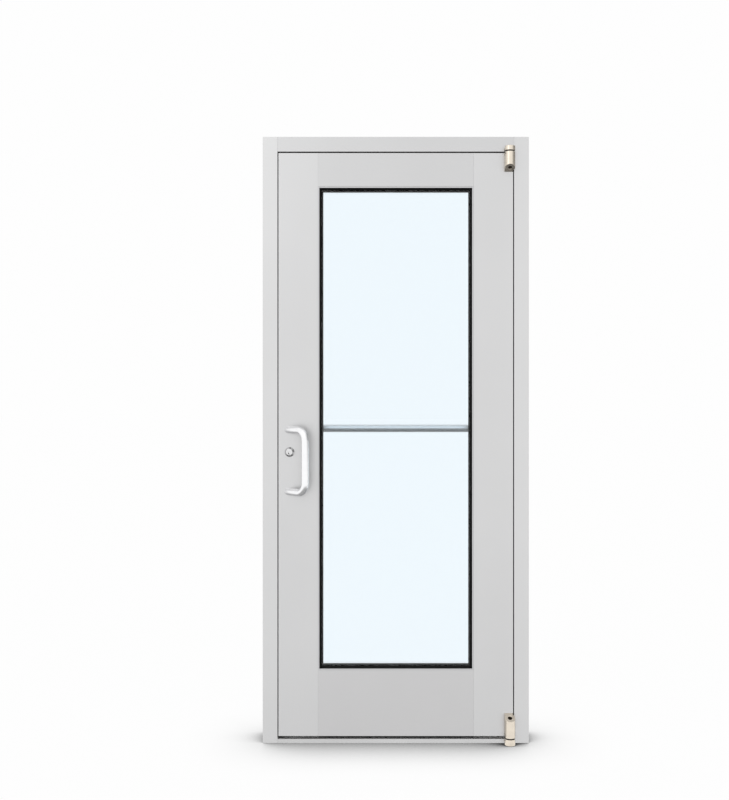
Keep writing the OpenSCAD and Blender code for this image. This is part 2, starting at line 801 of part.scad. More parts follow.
module level_strip(profile, seam, up, face, dir, x) {
    along_x(x) polygon(swapped(placed(profile, seam, up, face, dir)));
}

module upright_stop(side, face, dir) {
    color("gainsboro") upright_strip(glazing_profile, side, face, dir, [seam_bottom, seam_top]);
}

module level_stop(seam, up, face, dir) {
    half = seam_x - stop_lip;
    color("gainsboro") level_strip(glazing_profile, seam, up, face, dir, [-half, half]);
}

module front_stop_hinge() {
    upright_stop(1, leaf_front, 1);
}

module front_stop_lock() {
    upright_stop(-1, leaf_front, 1);
}

module front_stop_top() {
    level_stop(seam_top, -1, leaf_front, 1);
}

module front_stop_bottom() {
    level_stop(seam_bottom, 1, leaf_front, 1);
}

module rear_stop_hinge() {
    upright_stop(1, leaf_back, -1);
}

module rear_stop_lock() {
    upright_stop(-1, leaf_back, -1);
}

module rear_stop_top() {
    level_stop(seam_top, -1, leaf_back, -1);
}

module rear_stop_bottom() {
    level_stop(seam_bottom, 1, leaf_back, -1);
}

// Four gasket strips round one side of the glass; the level ones butt against the upright ones
module gasket_set(face, dir) {
    half = seam_x - stop_lip - gasket_sight;
    for (side = [-1, 1])
        upright_strip(gasket_profile, side, face, dir, [seam_bottom + stop_lip, seam_top - stop_lip]);
    level_strip(gasket_profile, seam_bottom, 1, face, dir, [-half, half]);
    level_strip(gasket_profile, seam_top, -1, face, dir, [-half, half]);
}

module front_gaskets() {
    color("black") gasket_set(leaf_front, 1);
}

module rear_gaskets() {
    color("black") gasket_set(leaf_back, -1);
}

module door_sweep() {
    tip = threshold_h + 0.4;
    front = inner_front + 0.2;
    roof = leaf_bottom + sweep_channel;
    color("black") along_x([-seam_x + 1, seam_x - 1]) polygon([[front, roof], [inner_back - 0.2, roof],
        [inner_back - 0.2, roof - 4], [front + 12, roof - 4], [front + 7, tip], [front + 3, tip],
        [front, roof - 6]]);
}

// ---------------------------------------------------------------- pull and push bar

// Quarter bend in the plane of its own X and Z, from the end at +Z of the leg to +X
module bend(r, bar_r, angle) {
    rotate([90, 0, 0]) rotate_extrude(angle = angle) translate([r, 0]) circle(r = bar_r);
}

// The pull lies in a plane that leans 45 degrees from the leaf towards the glass
module pull_shape() {
    run = pull_leg - pull_bend;
    for (end = [0, 1]) translate([0, 0, end * pull_feet]) mirror([0, 0, end]) {
        translate([-2 * pull_r, 0, 0]) rotate([0, 90, 0]) cylinder(r = pull_r, h = run + 2 * pull_r);
        translate([run, 0, pull_bend]) rotate([0, 90, 0]) bend(pull_bend, pull_r, 90);
    }
    translate([pull_leg, 0, pull_bend]) cylinder(r = pull_r, h = pull_feet - 2 * pull_bend);
}

module pull_handle() {
    color("whitesmoke") difference() {
        translate([foot_x, leaf_front, pull_z]) rotate([0, 0, -45]) pull_shape();
        block([foot_x - 4 * pull_r, foot_x + 4 * pull_r], [leaf_front, leaf_front + 4 * pull_r],
            [pull_z - 2 * pull_r, pull_top_z + 2 * pull_r]);
        for (z = [pull_z, pull_top_z])
            rod_y(foot_x, [leaf_front - bolt_in_pull, leaf_front + over], z, bolt_r + 0.05);
    }
}

module through_bolt(z, seat) {
    rod_y(foot_x, [leaf_front - bolt_in_pull + 1, seat], z, bolt_r);
    difference() {
        rod_y(foot_x, [seat, seat + bolt_head_h], z, bolt_r + 2.6);
        translate([foot_x, seat + 2.5, z]) rotate([-90, 0, 0]) cylinder(r = 3, h = 6, $fn = 6);
    }
}

module pull_bolts() {
    color("silver") {
        through_bolt(pull_z, leaf_back + 2);
        through_bolt(pull_top_z, leaf_back + flange_t);
        difference() {
            rod_y(foot_x, [leaf_back, leaf_back + 2], pull_z, flange_r / 1.6);
            rod_y(foot_x, [leaf_back - over, leaf_back + 3], pull_z, bolt_r + 0.25);
        }
    }
}

module push_path(bar_r, past) {
    leg = push_out - push_bend;
    for (side = [0, 1]) mirror([side, 0, 0])
        translate([push_half - push_bend, leaf_back + leg, pull_top_z]) {
            rotate_extrude(angle = 90) translate([push_bend, 0]) circle(r = bar_r);
            rod_y(push_bend, [flange_t - past - leg, 0], 0, bar_r);
            rod_x([push_bend - push_half, 0], push_bend, 0, bar_r);
        }
}

module push_bar() {
    color("silver") difference() {
        push_path(push_r, 0);
        push_path(push_r - push_wall, over);
    }
}

module push_bar_brackets() {
    head_seat = bolt_r + 2.8;
    color("silver") for (side = [-1, 1]) difference() {
        union() {
            rod_y(side * push_half, [leaf_back, leaf_back + flange_t], pull_top_z, flange_r);
            rod_y(side * push_half, [leaf_back, leaf_back + spigot_h], pull_top_z, spigot_r);
        }
        rod_y(side * push_half, [leaf_back - over, leaf_back + spigot_h + over], pull_top_z,
            bolt_r + 0.25);
        rod_y(side * push_half, [leaf_back + flange_t, leaf_back + spigot_h + over], pull_top_z,
            head_seat);
    }
}

module push_bar_bolt() {
    nut_y = [inner_back - 8, inner_back];
    color("silver") {
        rod_y(push_half, [nut_y[0], leaf_back + flange_t], pull_top_z, bolt_r);
        difference() {
            rod_y(push_half, [leaf_back + flange_t, leaf_back + flange_t + bolt_head_h], pull_top_z,
                bolt_r + 2.6);
            translate([push_half, leaf_back + flange_t + 2.5, pull_top_z]) rotate([-90, 0, 0])
                cylinder(r = 3, h = 6, $fn = 6);
        }
        difference() {
            translate([push_half, nut_y[0], pull_top_z]) rotate([-90, 0, 0])
                cylinder(r = 8, h = 8, $fn = 6);
            rod_y(push_half, [nut_y[0] - over, nut_y[1] + over], pull_top_z, bolt_r + 0.02);
        }
    }
}

// ---------------------------------------------------------------- lock

module lock_case() {
    color("silver") difference() {
        block(case_x, case_y, case_z);
        block([case_x[0] - over, case_x[1] - case_wall], [case_y[0] + case_wall, case_y[1] - case_wall],
            [case_z[0] + case_end, case_z[1] - case_end]);
        rod_y(foot_x, [case_y[0] - over, case_y[1] + over], cyl_z, cyl_r + 0.05);
        rod_y(swing_x, [case_y[0] - over, case_y[1] + over], swing_z, bolt_pin_r + 0.02);
        for (z = [case_z[0] + case_end / 2, case_z[1] - case_end / 2])
            rod_x([case_x[0] - over, case_x[0] + 14], leaf_mid, z, screw_r + 0.05);
    }
}

module lock_faceplate() {
    color("silver") difference() {
        block([-leaf_edge, -leaf_edge + faceplate_t], [case_y[0] + 0.1, case_y[1] - 0.1],
            [faceplate_z[0] + 0.2, faceplate_z[1] - 0.2]);
        block([-leaf_edge - over, -leaf_edge + faceplate_t + over], slot_y, slot_z);
        for (z = concat(face_screw_z, [case_z[0] + case_end / 2, case_z[1] - case_end / 2]))
            screw_hole_x(-leaf_edge, leaf_mid, z, 20, 1);
    }
}

module lock_screws() {
    color("silver") {
        for (z = [case_z[0] + case_end / 2, case_z[1] - case_end / 2])
            screw_x(-leaf_edge, leaf_mid, z, 14, 1);
        for (z = concat(face_screw_z, tab_screw_z))
            screw_x(-leaf_edge, leaf_mid, z, 10, 1);
    }
}

module lock_tabs() {
    tab_x = [-leaf_edge + tube_wall, -leaf_edge + tube_wall + 6];
    color("gray") for (end = [0, 1]) difference() {
        block(tab_x, case_y, end == 0 ? [faceplate_z[0] - tab_h, case_z[0] - 0.5]
            : [case_z[1] + 0.5, faceplate_z[1] + tab_h]);
        for (z = [tab_screw_z[end], face_screw_z[end]])
            rod_x([tab_x[0] - over, tab_x[1] + over], leaf_mid, z, screw_r + 0.05);
    }
}

// Threaded body with a tapered collar and a head, along Y; face is the leaf's face, dir its outside
module cylinder_body(face, dir) {
    translate([foot_x, face, cyl_z]) rotate([dir < 0 ? 90 : -90, 0, 0]) {
        translate([0, 0, -(leaf_t - case_t) / 2 - case_wall]) cylinder(r = cyl_r, h = 20);
        cylinder(r1 = collar_r, r2 = collar_r - 1, h = collar_h);
        cylinder(r1 = cyl_r, r2 = cyl_r - 0.6, h = collar_h + head_h);
    }
}

module key_cylinder() {
    color("silver") difference() {
        cylinder_body(leaf_front, -1);
        rod_y(plug_x, [leaf_front - 20, leaf_mid], plug_z, plug_r + running);
    }
}

module turn_cylinder() {
    color("silver") difference() {
        cylinder_body(leaf_back, 1);
        rod_y(foot_x, [leaf_mid, leaf_back + 20], cyl_z, plug_r + running);
    }
}

// Cam on the inner end of a plug: a disc with a rounded finger that points up
module cam(x, z, y) {
    rod_y(x, y, z, plug_r);
    rod_y(x, y, z + cam_r - 3, 3);
    block([x - 3, x + 3], y, [z, z + cam_r - 3]);
}

module key_plug() {
    face = leaf_front - collar_h - head_h;
    color("gainsboro") {
        difference() {
            rod_y(plug_x, [face, cam_front], plug_z, plug_r);
            translate([plug_x, face - over, plug_z]) rotate([0, -plug_turn, 0])
                block([-0.7, 0.7], [0, 20], [-plug_r * 0.8, plug_r * 0.55]);
            translate([plug_x, face - over, plug_z]) rotate([0, -plug_turn, 0])
                block([-1.4, 1.4], [0, 20], [-plug_r * 0.5, plug_r * 0.1]);
        }
        cam(plug_x, plug_z, [cam_front, cam_front + cam_t]);
    }
}

module thumb_turn() {
    face = leaf_back + collar_h + head_h;
    color("silver") {
        rod_y(foot_x, [cam_back, face + 4], cyl_z, plug_r);
        rod_y(foot_x, [face + 0.3, face + 4], cyl_z, cyl_r - 3);
        intersection() {
            block([foot_x - 4, foot_x + 4], [face + 4, face + turn_out],
                [cyl_z - turn_l / 2, cyl_z + turn_l / 2]);
            translate([foot_x - 5, face + 4, cyl_z]) rotate([0, 90, 0]) scale([turn_l / 2, turn_l / 2, 1])
                cylinder(r = 1, h = 10);
        }
        cam(foot_x, cyl_z, [cam_back - cam_t, cam_back]);
    }
}

module deadbolt() {
    y = [leaf_mid - bolt_t / 2, leaf_mid + bolt_t / 2];
    color("silver") difference() {
        union() {
            block([swing_x - bolt_w / 2, swing_x + bolt_w / 2], y, [swing_z, swing_z + swing_l]);
            rod_y(swing_x, y, swing_z, bolt_w / 2);
        }
        rod_y(swing_x, [y[0] - over, y[1] + over], swing_z, bolt_pin_r + running);
    }
}

module bolt_pin() {
    color("silver") rod_y(swing_x, case_y, swing_z, bolt_pin_r);
}

// ---------------------------------------------------------------- pieces

hinge_jamb();
strike_jamb();
header();
threshold();
hinge_jamb_stop();
strike_jamb_stop();
header_stop();
weatherstrips();
frame_screws();
strike_plate();
strike_backer();
strike_screws();
top_frame_pivot();
bottom_frame_pivot();
pivot_pins();
pivot_washers();
frame_pivot_screws();
hinge_stile();
lock_stile();
top_rail();
bottom_rail();
corner_blocks();
tie_rods();
tie_rod_nuts();
outer_pane();
inner_pane();
edge_spacer();
setting_blocks();
front_stop_hinge();
front_stop_lock();
front_stop_top();
front_stop_bottom();
rear_stop_hinge();
rear_stop_lock();
rear_stop_top();
rear_stop_bottom();
front_gaskets();
rear_gaskets();
door_sweep();
top_leaf_pivot();
bottom_leaf_pivot();
pivot_blocks();
leaf_pivot_screws();
adjusting_screws();
pull_handle();
pull_bolts();
push_bar();
push_bar_brackets();
push_bar_bolt();
lock_case();
lock_faceplate();
lock_screws();
lock_tabs();
key_cylinder();
turn_cylinder();
deadbolt();
bolt_pin();
key_plug();
thumb_turn();
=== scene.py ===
"""Looks of a glazed aluminium entrance door: finishes, turned and bent hardware, and the studio."""
import json
import math
from contextlib import contextmanager

import bpy
from bpy.props import FloatProperty, FloatVectorProperty, IntProperty, PointerProperty
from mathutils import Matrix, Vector


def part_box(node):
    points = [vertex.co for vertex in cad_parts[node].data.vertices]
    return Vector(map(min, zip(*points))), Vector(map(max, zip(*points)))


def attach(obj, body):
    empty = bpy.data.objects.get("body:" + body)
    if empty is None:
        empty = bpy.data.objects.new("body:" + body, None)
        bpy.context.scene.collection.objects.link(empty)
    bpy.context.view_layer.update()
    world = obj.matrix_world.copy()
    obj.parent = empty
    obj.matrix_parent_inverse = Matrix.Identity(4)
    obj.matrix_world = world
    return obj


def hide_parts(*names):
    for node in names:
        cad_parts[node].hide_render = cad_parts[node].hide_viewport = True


bl_info = {
    "name": "Glazed entrance door",
    "version": (1, 0, 0),
    "blender": (4, 5, 0),
    "location": "View3D > Sidebar > Door",
    "description": "Dresses the packed door with finishes, bent bars, turned parts and a studio",
    "category": "Object",
}

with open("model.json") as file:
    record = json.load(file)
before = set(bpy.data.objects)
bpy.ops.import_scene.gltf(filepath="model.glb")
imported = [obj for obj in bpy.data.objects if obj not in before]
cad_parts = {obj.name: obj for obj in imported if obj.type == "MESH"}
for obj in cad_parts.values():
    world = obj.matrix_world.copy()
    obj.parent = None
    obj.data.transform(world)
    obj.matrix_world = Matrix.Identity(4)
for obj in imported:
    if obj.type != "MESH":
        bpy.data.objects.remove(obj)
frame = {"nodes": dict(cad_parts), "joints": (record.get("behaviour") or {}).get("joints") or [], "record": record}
NODES = frame["nodes"]
BODY_OF = {node: body for body, group in frame["record"]["behaviour"]["bodies"].items() for node in group}
SLOT_OF = {part["node"]: part["material_slot"] for part in frame["record"]["subparts"]}
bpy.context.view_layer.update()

MM = 0.001
FINISHES = {}

# Turns that lay a ring's or a cylinder's axis, which is Z at first, along another one
TURN_TO = {"X": (0, math.pi / 2, 0), "Y": (math.pi / 2, 0, 0)}

# Angle in degrees from which an edge between flat faces counts as sharp
SHARP = 34

# The middle of a noise, which its users spread over their own range
NOISE_MIDDLE = (0.3, 0.7)
RANGE_SOCKETS = ("From Min", "From Max", "To Min", "To Max")


# ---------------------------------------------------------------- settings

def colour_setting(name, text, value):
    return FloatVectorProperty(name=name, description=text, subtype="COLOR", size=3, min=0, max=1,
                               default=value)


def length_setting(name, text, value):
    return FloatProperty(name=name, description=text, unit="LENGTH", subtype="DISTANCE", default=value)


def plain_setting(name, text, value):
    return FloatProperty(name=name, description=text, default=value)


class DoorFinishSettings(bpy.types.PropertyGroup):
    """Colours and gloss of the door's surfaces."""
    # Upright pieces are a touch lighter than level ones and the bottom rail is the darkest: partly tone that
    # differs from one extrusion to the next, partly painted shade for the light falling off towards the bottom of
    # the door and on level-drawn metal
    jamb: colour_setting("Jambs", "Clear anodised jambs", (0.70, 0.70, 0.702))
    header: colour_setting("Header", "Clear anodised header", (0.655, 0.655, 0.658))
    stile: colour_setting("Stiles", "Clear anodised stiles", (0.675, 0.675, 0.678))
    top_rail: colour_setting("Top rail", "Clear anodised top rail", (0.645, 0.645, 0.648))
    bottom_rail: colour_setting("Bottom rail", "Clear anodised bottom rail", (0.635, 0.632, 0.636))
    stop: colour_setting("Stops", "Door stops and glazing stops", (0.62, 0.62, 0.63))
    threshold: colour_setting("Threshold", "Mill finish threshold", (0.68, 0.68, 0.68))
    pivot: colour_setting("Pivots", "Satin nickel-brass offset pivots", (0.83, 0.75, 0.64))
    pull: colour_setting("Pull", "Satin polished pull handle", (0.93, 0.93, 0.94))
    push: colour_setting("Push bar", "Satin anodised push bar", (0.92, 0.92, 0.925))
    cylinder: colour_setting("Cylinders", "Satin chrome lock cylinders", (0.74, 0.74, 0.745))
    lock_plate: colour_setting("Lock plates", "Brushed face plate, strike and bolt", (0.62, 0.62, 0.63))
    zinc: colour_setting("Fasteners", "Zinc plated screws and cases", (0.56, 0.58, 0.60))
    # The adjusting screws' colour also paints the shade on the bore walls above them in the leaf pivots
    screw: colour_setting("Adjusting screws", "Black oxide adjusting screws", (0.045, 0.035, 0.025))
    block: colour_setting("Blocks", "Mill finish blocks inside the tubes", (0.60, 0.60, 0.61))
    rubber: colour_setting("Gaskets", "Black glazing rubber", (0.006, 0.006, 0.006))
    weather: colour_setting("Weatherstrips", "Dark strips and sweep", (0.022, 0.022, 0.023))
    washer: colour_setting("Washers", "Nylon bearing washers of the pivots", (0.012, 0.010, 0.008))
    spacer: colour_setting("Spacer", "Black spacer between the panes", (0.009, 0.009, 0.010))
    glass: colour_setting("Glass", "Tint of one pane", (0.930, 0.972, 0.998))
    satin: plain_setting("Satin", "Roughness of the anodised extrusions", 0.40)


class DoorDetailSettings(bpy.types.PropertyGroup):
    """Sizes of what is modelled on top of the construction."""
    edge: length_setting("Edge", "Edge radius of the extrusions", 0.4 * MM)
    soft_edge: length_setting("Soft edge", "Edge radius of castings and levers", 0.9 * MM)
    pull_bar: length_setting("Pull bar", "Diameter of the pull's bar", 25.4 * MM)
    pull_bend: length_setting("Pull bend", "Bend radius of the pull on its centre line", 36 * MM)
    push_bar: length_setting("Push bar", "Diameter of the push bar", 28.6 * MM)
    push_wall: length_setting("Push wall", "Wall of the push bar", 2.5 * MM)
    push_bend: length_setting("Push bend", "Bend radius of the push bar on its centre line", 38 * MM)
    ring: IntProperty(name="Ring", description="Sides of a round bar", default=48)
    bend_steps: IntProperty(name="Bend steps", description="Rings in a quarter bend", default=14)
    flange_round: length_setting("Flange round", "Rounding of a flange's rim", 1.2 * MM)
    screw_room: length_setting("Screw room", "Radius of the recess for a flange's screw", 6.8 * MM)
    cylinder_body: length_setting("Cylinder body", "Radius of a lock cylinder inside the stile", 14.6 * MM)
    cylinder_head: length_setting("Cylinder head", "Radius of a lock cylinder's flat head", 11.6 * MM)
    plug_bore: length_setting("Plug bore", "Radius of the bore for a cylinder's plug", 6.41 * MM)
    flute_pitch: length_setting("Flute pitch", "Spacing of the threshold's flutes", 6 * MM)
    flute_depth: length_setting("Flute depth", "Depth of the threshold's flutes", 0.9 * MM)
    flute_margin: length_setting("Flute margin", "Plain width left beside the flutes, in all", 16 * MM)


class DoorStudioSettings(bpy.types.PropertyGroup):
    """Camera, light and floor."""
    camera_away: length_setting("Distance", "Camera distance from the outside face", 3.47)
    camera_up: length_setting("Height", "Camera height above the floor", 1.244)
    lens: plain_setting("Lens", "Focal length in millimetres", 45.45)
    shift_x: plain_setting("Shift X", "Sideways shift of the lens", -0.0391)
    shift_y: plain_setting("Shift Y", "Upward shift of the lens", -0.0238)
    back_glow: plain_setting("Background", "Brightness of the background", 0.99)
    dome_low: plain_setting("Horizon light", "Brightness of the light from the horizon", 0.97)
    dome_high: plain_setting("Top light", "Brightness of the light from above", 1.08)
    front_glow: plain_setting("Front glow", "Brightness that shines from in front of the door", 1.03)
    side_glow: plain_setting("Side glow", "Brightness that shines from beside and behind", 0.18)
    second_glow: plain_setting("Second glow", "Share of brightness left after the third reflection", 0.12)
    floor_mirror: plain_setting("Floor mirror", "Brightness of the floor in what shines", 1.06)
    floor_below: plain_setting("Floor below", "Brightness of the near floor in what shines", 0.16)
    floor_matt: plain_setting("Floor matt", "Share of the floor's look that the lamps make", 0.03)
    shadow_reach: length_setting("Shadow reach", "How far the contact shadow reaches", 0.3)
    shadow_depth: plain_setting("Shadow depth", "Darkness of the contact shadow", 2.4)
    key: plain_setting("Key light", "Power of the soft light from the upper left, in watts", 8)


# ---------------------------------------------------------------- modelling helpers

def settings(name):
    return getattr(bpy.context.scene, name)


def only(piece):
    """Selects one piece and nothing else."""
    bpy.ops.object.select_all(action="DESELECT")
    piece.select_set(True)
    bpy.context.view_layer.objects.active = piece


@contextmanager
def editing(piece, kind="FACE"):
    """Edit mode on one piece, with the selection made beforehand in its mesh."""
    only(piece)
    bpy.ops.object.mode_set(mode="EDIT")
    bpy.ops.mesh.select_mode(type=kind)
    yield
    bpy.ops.object.mode_set(mode="OBJECT")


def pick_faces(piece, test):
    """Selects the faces whose centre and normal pass the test."""
    mesh = piece.data
    mesh.vertices.foreach_set("select", [False] * len(mesh.vertices))
    mesh.edges.foreach_set("select", [False] * len(mesh.edges))
    for face in mesh.polygons:
        face.select = test(face.center, face.normal)


def pick_edges(piece, test):
    """Selects the edges whose two ends pass the test."""
    mesh = piece.data
    mesh.polygons.foreach_set("select", [False] * len(mesh.polygons))
    mesh.vertices.foreach_set("select", [False] * len(mesh.vertices))
    for edge in mesh.edges:
        edge.select = all(test(mesh.vertices[i].co) for i in edge.vertices)


def apply_place(piece):
    only(piece)
    bpy.ops.object.transform_apply(location=True, rotation=True, scale=True)


def primitive(name, shape, **sizes):
    """A named mesh primitive, with its place applied to its mesh."""
    bpy.ops.object.select_all(action="DESELECT")
    getattr(bpy.ops.mesh, f"primitive_{shape}_add")(**sizes)
    piece = bpy.context.active_object
    piece.name = piece.data.name = name
    apply_place(piece)
    return piece


def apply_modifier(piece, modifier):
    only(piece)
    bpy.ops.object.modifier_apply(modifier=modifier.name)


def cut_by(piece, cutter):
    """Takes the cutter out of a piece, and does away with it."""
    cut = piece.modifiers.new("cut", "BOOLEAN")
    cut.operation = "DIFFERENCE"
    cut.solver = "EXACT"
    cut.object = cutter
    apply_modifier(piece, cut)
    bpy.data.objects.remove(cutter)


def rounded(piece, width, segments=2):
    """Rounds every sharp edge."""
    bevel = piece.modifiers.new("edge", "BEVEL")
    bevel.width = width
    bevel.segments = segments
    bevel.limit_method = "ANGLE"
    bevel.angle_limit = math.radians(SHARP)
    bevel.use_clamp_overlap = False
    bevel.harden_normals = True
    apply_modifier(piece, bevel)


def smooth(piece, angle=SHARP):
    only(piece)
    bpy.ops.object.shade_smooth_by_angle(angle=math.radians(angle))


def outward(piece):
    """Merges doubled points and turns every face outwards."""
    with editing(piece):
        bpy.ops.mesh.select_all(action="SELECT")
        bpy.ops.mesh.remove_doubles(threshold=1e-6)
        bpy.ops.mesh.normals_make_consistent(inside=False)


def finished(piece, finish):
    piece.data.materials.clear()
    piece.data.materials.append(FINISHES[finish])


def installed(piece, finish, node):
    """Gives a finished piece its material and its body, and hides the CAD node that it stands for."""
    finished(piece, finish)
    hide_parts(node)
    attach(piece, BODY_OF[node])
    return piece


def copied(node, name):
    """A copy of a CAD node with its loose triangles merged into flat faces."""
    piece = bpy.data.objects.new(name, NODES[node].data.copy())
    bpy.context.scene.collection.objects.link(piece)
    with editing(piece, "VERT"):
        bpy.ops.mesh.select_all(action="SELECT")
        bpy.ops.mesh.remove_doubles(threshold=2e-6)
        bpy.ops.mesh.dissolve_limited(angle_limit=math.radians(0.6))
    return piece


def dressed(node, name, finish, width, segments=2):
    """A copy of a CAD node with rounded edges and its finish."""
    piece = copied(node, name)
    smooth(piece)
    rounded(piece, width, segments)
    return installed(piece, finish, node)


def box(node):
    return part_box(node)


def middle(node):
    low, high = box(node)
    return (low + high) / 2


# ---------------------------------------------------------------- finishes

class Finish:
    """A material under construction: its node tree, its shader and its object coordinates."""

    def __init__(self, name, metallic=0.0, roughness=0.5):
        self.material = bpy.data.materials.new(name)
        self.material.use_nodes = True
        self.tree = self.material.node_tree
        self.shader = self.tree.nodes["Principled BSDF"]
        self.shader.inputs["Metallic"].default_value = metallic
        self.shader.inputs["Roughness"].default_value = roughness
        self.coords = self.add("ShaderNodeTexCoord").outputs["Object"]
        self.height = None
        FINISHES[name] = self.material

    def add(self, kind):
        return self.tree.nodes.new(kind)

    def link(self, source, target):
        self.tree.links.new(source, target)

    def scaled(self, scale):
        mapping = self.add("ShaderNodeMapping")
        mapping.inputs["Scale"].default_value = scale
        self.link(self.coords, mapping.inputs["Vector"])
        return mapping.outputs["Vector"]

    def noise(self, scale, detail=2.0, stretch=(1, 1, 1)):
        """Noise with a number of features a metre, stretched along the axes."""
        noise = self.add("ShaderNodeTexNoise")
        noise.inputs["Scale"].default_value = scale
        noise.inputs["Detail"].default_value = detail
        self.link(self.scaled(stretch), noise.inputs["Vector"])
        return noise.outputs["Fac"]

    def spread(self, value, low, high):
        """Spreads the middle of a noise over a range."""
        spread = self.add("ShaderNodeMapRange")
        for name, number in zip(RANGE_SOCKETS, (*NOISE_MIDDLE, low, high)):
            spread.inputs[name].default_value = number
        self.link(value, spread.inputs["Value"])
        return spread.outputs["Result"]

    def tones(self, value, colour, change):
        """Base colour that varies by a share around the given one."""
        ramp = self.add("ShaderNodeValToRGB")
        shares = (1 - change, 1 + change)
        for element, position, share in zip(ramp.color_ramp.elements, NOISE_MIDDLE, shares):
            element.position = position
            element.color = [min(1, part * share) for part in colour] + [1]
        self.link(value, ramp.inputs["Fac"])
        self.link(ramp.outputs["Color"], self.shader.inputs["Base Color"])

    def rough(self, value, low, high):
        self.link(self.spread(value, low, high), self.shader.inputs["Roughness"])

    def relief(self, value, depth):
        """Adds a layer of relief of the given depth in metres."""
        bump = self.add("ShaderNodeBump")
        bump.inputs["Strength"].default_value = 1.0
        bump.inputs["Distance"].default_value = depth
        self.link(value, bump.inputs["Height"])
        if self.height:
            self.link(self.height, bump.inputs["Normal"])
        self.height = bump.outputs["Normal"]
        self.link(self.height, self.shader.inputs["Normal"])


def drawn_metal(name, colour, roughness, along, depth=4e-6, change=0.012):
    """Metal with fine draw lines along one axis and a faint cloudiness."""
    finish = Finish(name, metallic=1.0, roughness=roughness)
    stretch = [1.0, 1.0, 1.0]
    stretch["XYZ".index(along)] = 0.012
    lines = finish.noise(2600, 3.0, stretch)
    clouds = finish.noise(3.5, 2.0)
    finish.tones(clouds, colour, change)
    finish.rough(lines, roughness - 0.035, roughness + 0.035)
    finish.relief(lines, depth)
    return finish


def cast_metal(name, colour, roughness, grain=900, depth=1.2e-5, change=0.04, metallic=1.0):
    """Metal with a fine even grain; an anodised skin is a little less metallic than bare metal."""
    finish = Finish(name, metallic=metallic, roughness=roughness)
    fine = finish.noise(grain, 4.0)
    clouds = finish.noise(45, 2.0)
    finish.tones(clouds, colour, change)
    finish.rough(fine, roughness - 0.04, roughness + 0.05)
    finish.relief(fine, depth)
    return finish


def rubber(name, colour, roughness):
    finish = Finish(name, roughness=roughness)
    finish.shader.inputs["Specular IOR Level"].default_value = 0.1
    skin = finish.noise(1500, 3.0)
    finish.tones(finish.noise(60, 2.0), colour, 0.18)
    finish.rough(skin, roughness - 0.06, roughness + 0.08)
    finish.relief(skin, 1.5e-5)
    return finish


def pane_glass(name, tint):
    """Clear float glass with a hardly visible unevenness."""
    finish = Finish(name, roughness=0.0)
    finish.shader.inputs["Base Color"].default_value = (*tint, 1)
    finish.shader.inputs["Transmission Weight"].default_value = 1.0
    finish.shader.inputs["IOR"].default_value = 1.5
    finish.relief(finish.noise(2.2, 0.0), 2e-5)
    return finish


def all_finishes():
    colours = settings("door_finish")
    satin = colours.satin
    # the anodised colours differ partly by extrusion and partly as painted shade, darker on level pieces and
    # darkest low on the door
    drawn_metal("jamb_anodised", colours.jamb, satin, "Z")
    drawn_metal("header_anodised", colours.header, satin, "X")
    drawn_metal("stile_anodised", colours.stile, satin, "Z")
    drawn_metal("top_rail_anodised", colours.top_rail, satin, "X")
    drawn_metal("bottom_rail_anodised", colours.bottom_rail, satin, "X")
    drawn_metal("upright_stop_anodised", colours.stop, satin, "Z")
    drawn_metal("level_stop_anodised", colours.stop, satin, "X")
    drawn_metal("threshold_mill", colours.threshold, 0.44, "X", depth=9e-6, change=0.05)
    drawn_metal("push_bar_anodised", colours.push, 0.27, "X")
    drawn_metal("lock_plate_brushed", colours.lock_plate, 0.30, "Z", depth=7e-6)
    cast_metal("pull_polished", colours.pull, 0.22, grain=1400, depth=2e-6, change=0.01, metallic=0.75)
    cast_metal("pivot_nickel", colours.pivot, 0.33, depth=6e-6)
    cast_metal("cylinder_chrome", colours.cylinder, 0.22, grain=1800, depth=2e-6, change=0.02)
    cast_metal("zinc_plate", colours.zinc, 0.34, grain=1100, depth=4e-6, change=0.06)
    cast_metal("block_mill", colours.block, 0.46, depth=1.6e-5)
    # black oxide of the adjusting screws, which also serves as painted shade on the bore walls of the leaf pivots
    cast_metal("black_oxide_and_bore_shade", colours.screw, 0.42, grain=1200, depth=4e-6)
    rubber("glazing_rubber", colours.rubber, 0.46)
    rubber("weather_rubber", colours.weather, 0.62)
    rubber("washer_nylon", colours.washer, 0.42)
    rubber("spacer_black", colours.spacer, 0.55)
    pane_glass("clear_glass", colours.glass)


# ---------------------------------------------------------------- bent bars

def start_ring(name, radius, along, at):
    """An open ring across an axis, where a bar starts."""
    return primitive(name, "circle", vertices=settings("door_details").ring, radius=radius,
                     fill_type="NOTHING", location=at, rotation=TURN_TO[along])


def run_straight(step):
    bpy.ops.mesh.extrude_edges_move(TRANSFORM_OT_translate={"value": step})


def run_bend(centre, axis):
    """A quarter bend, anticlockwise as seen against the axis; spin turns the other way."""
    steps = settings("door_details").bend_steps
    bpy.ops.mesh.spin(steps=steps, angle=-math.pi / 2, center=centre, axis=axis)


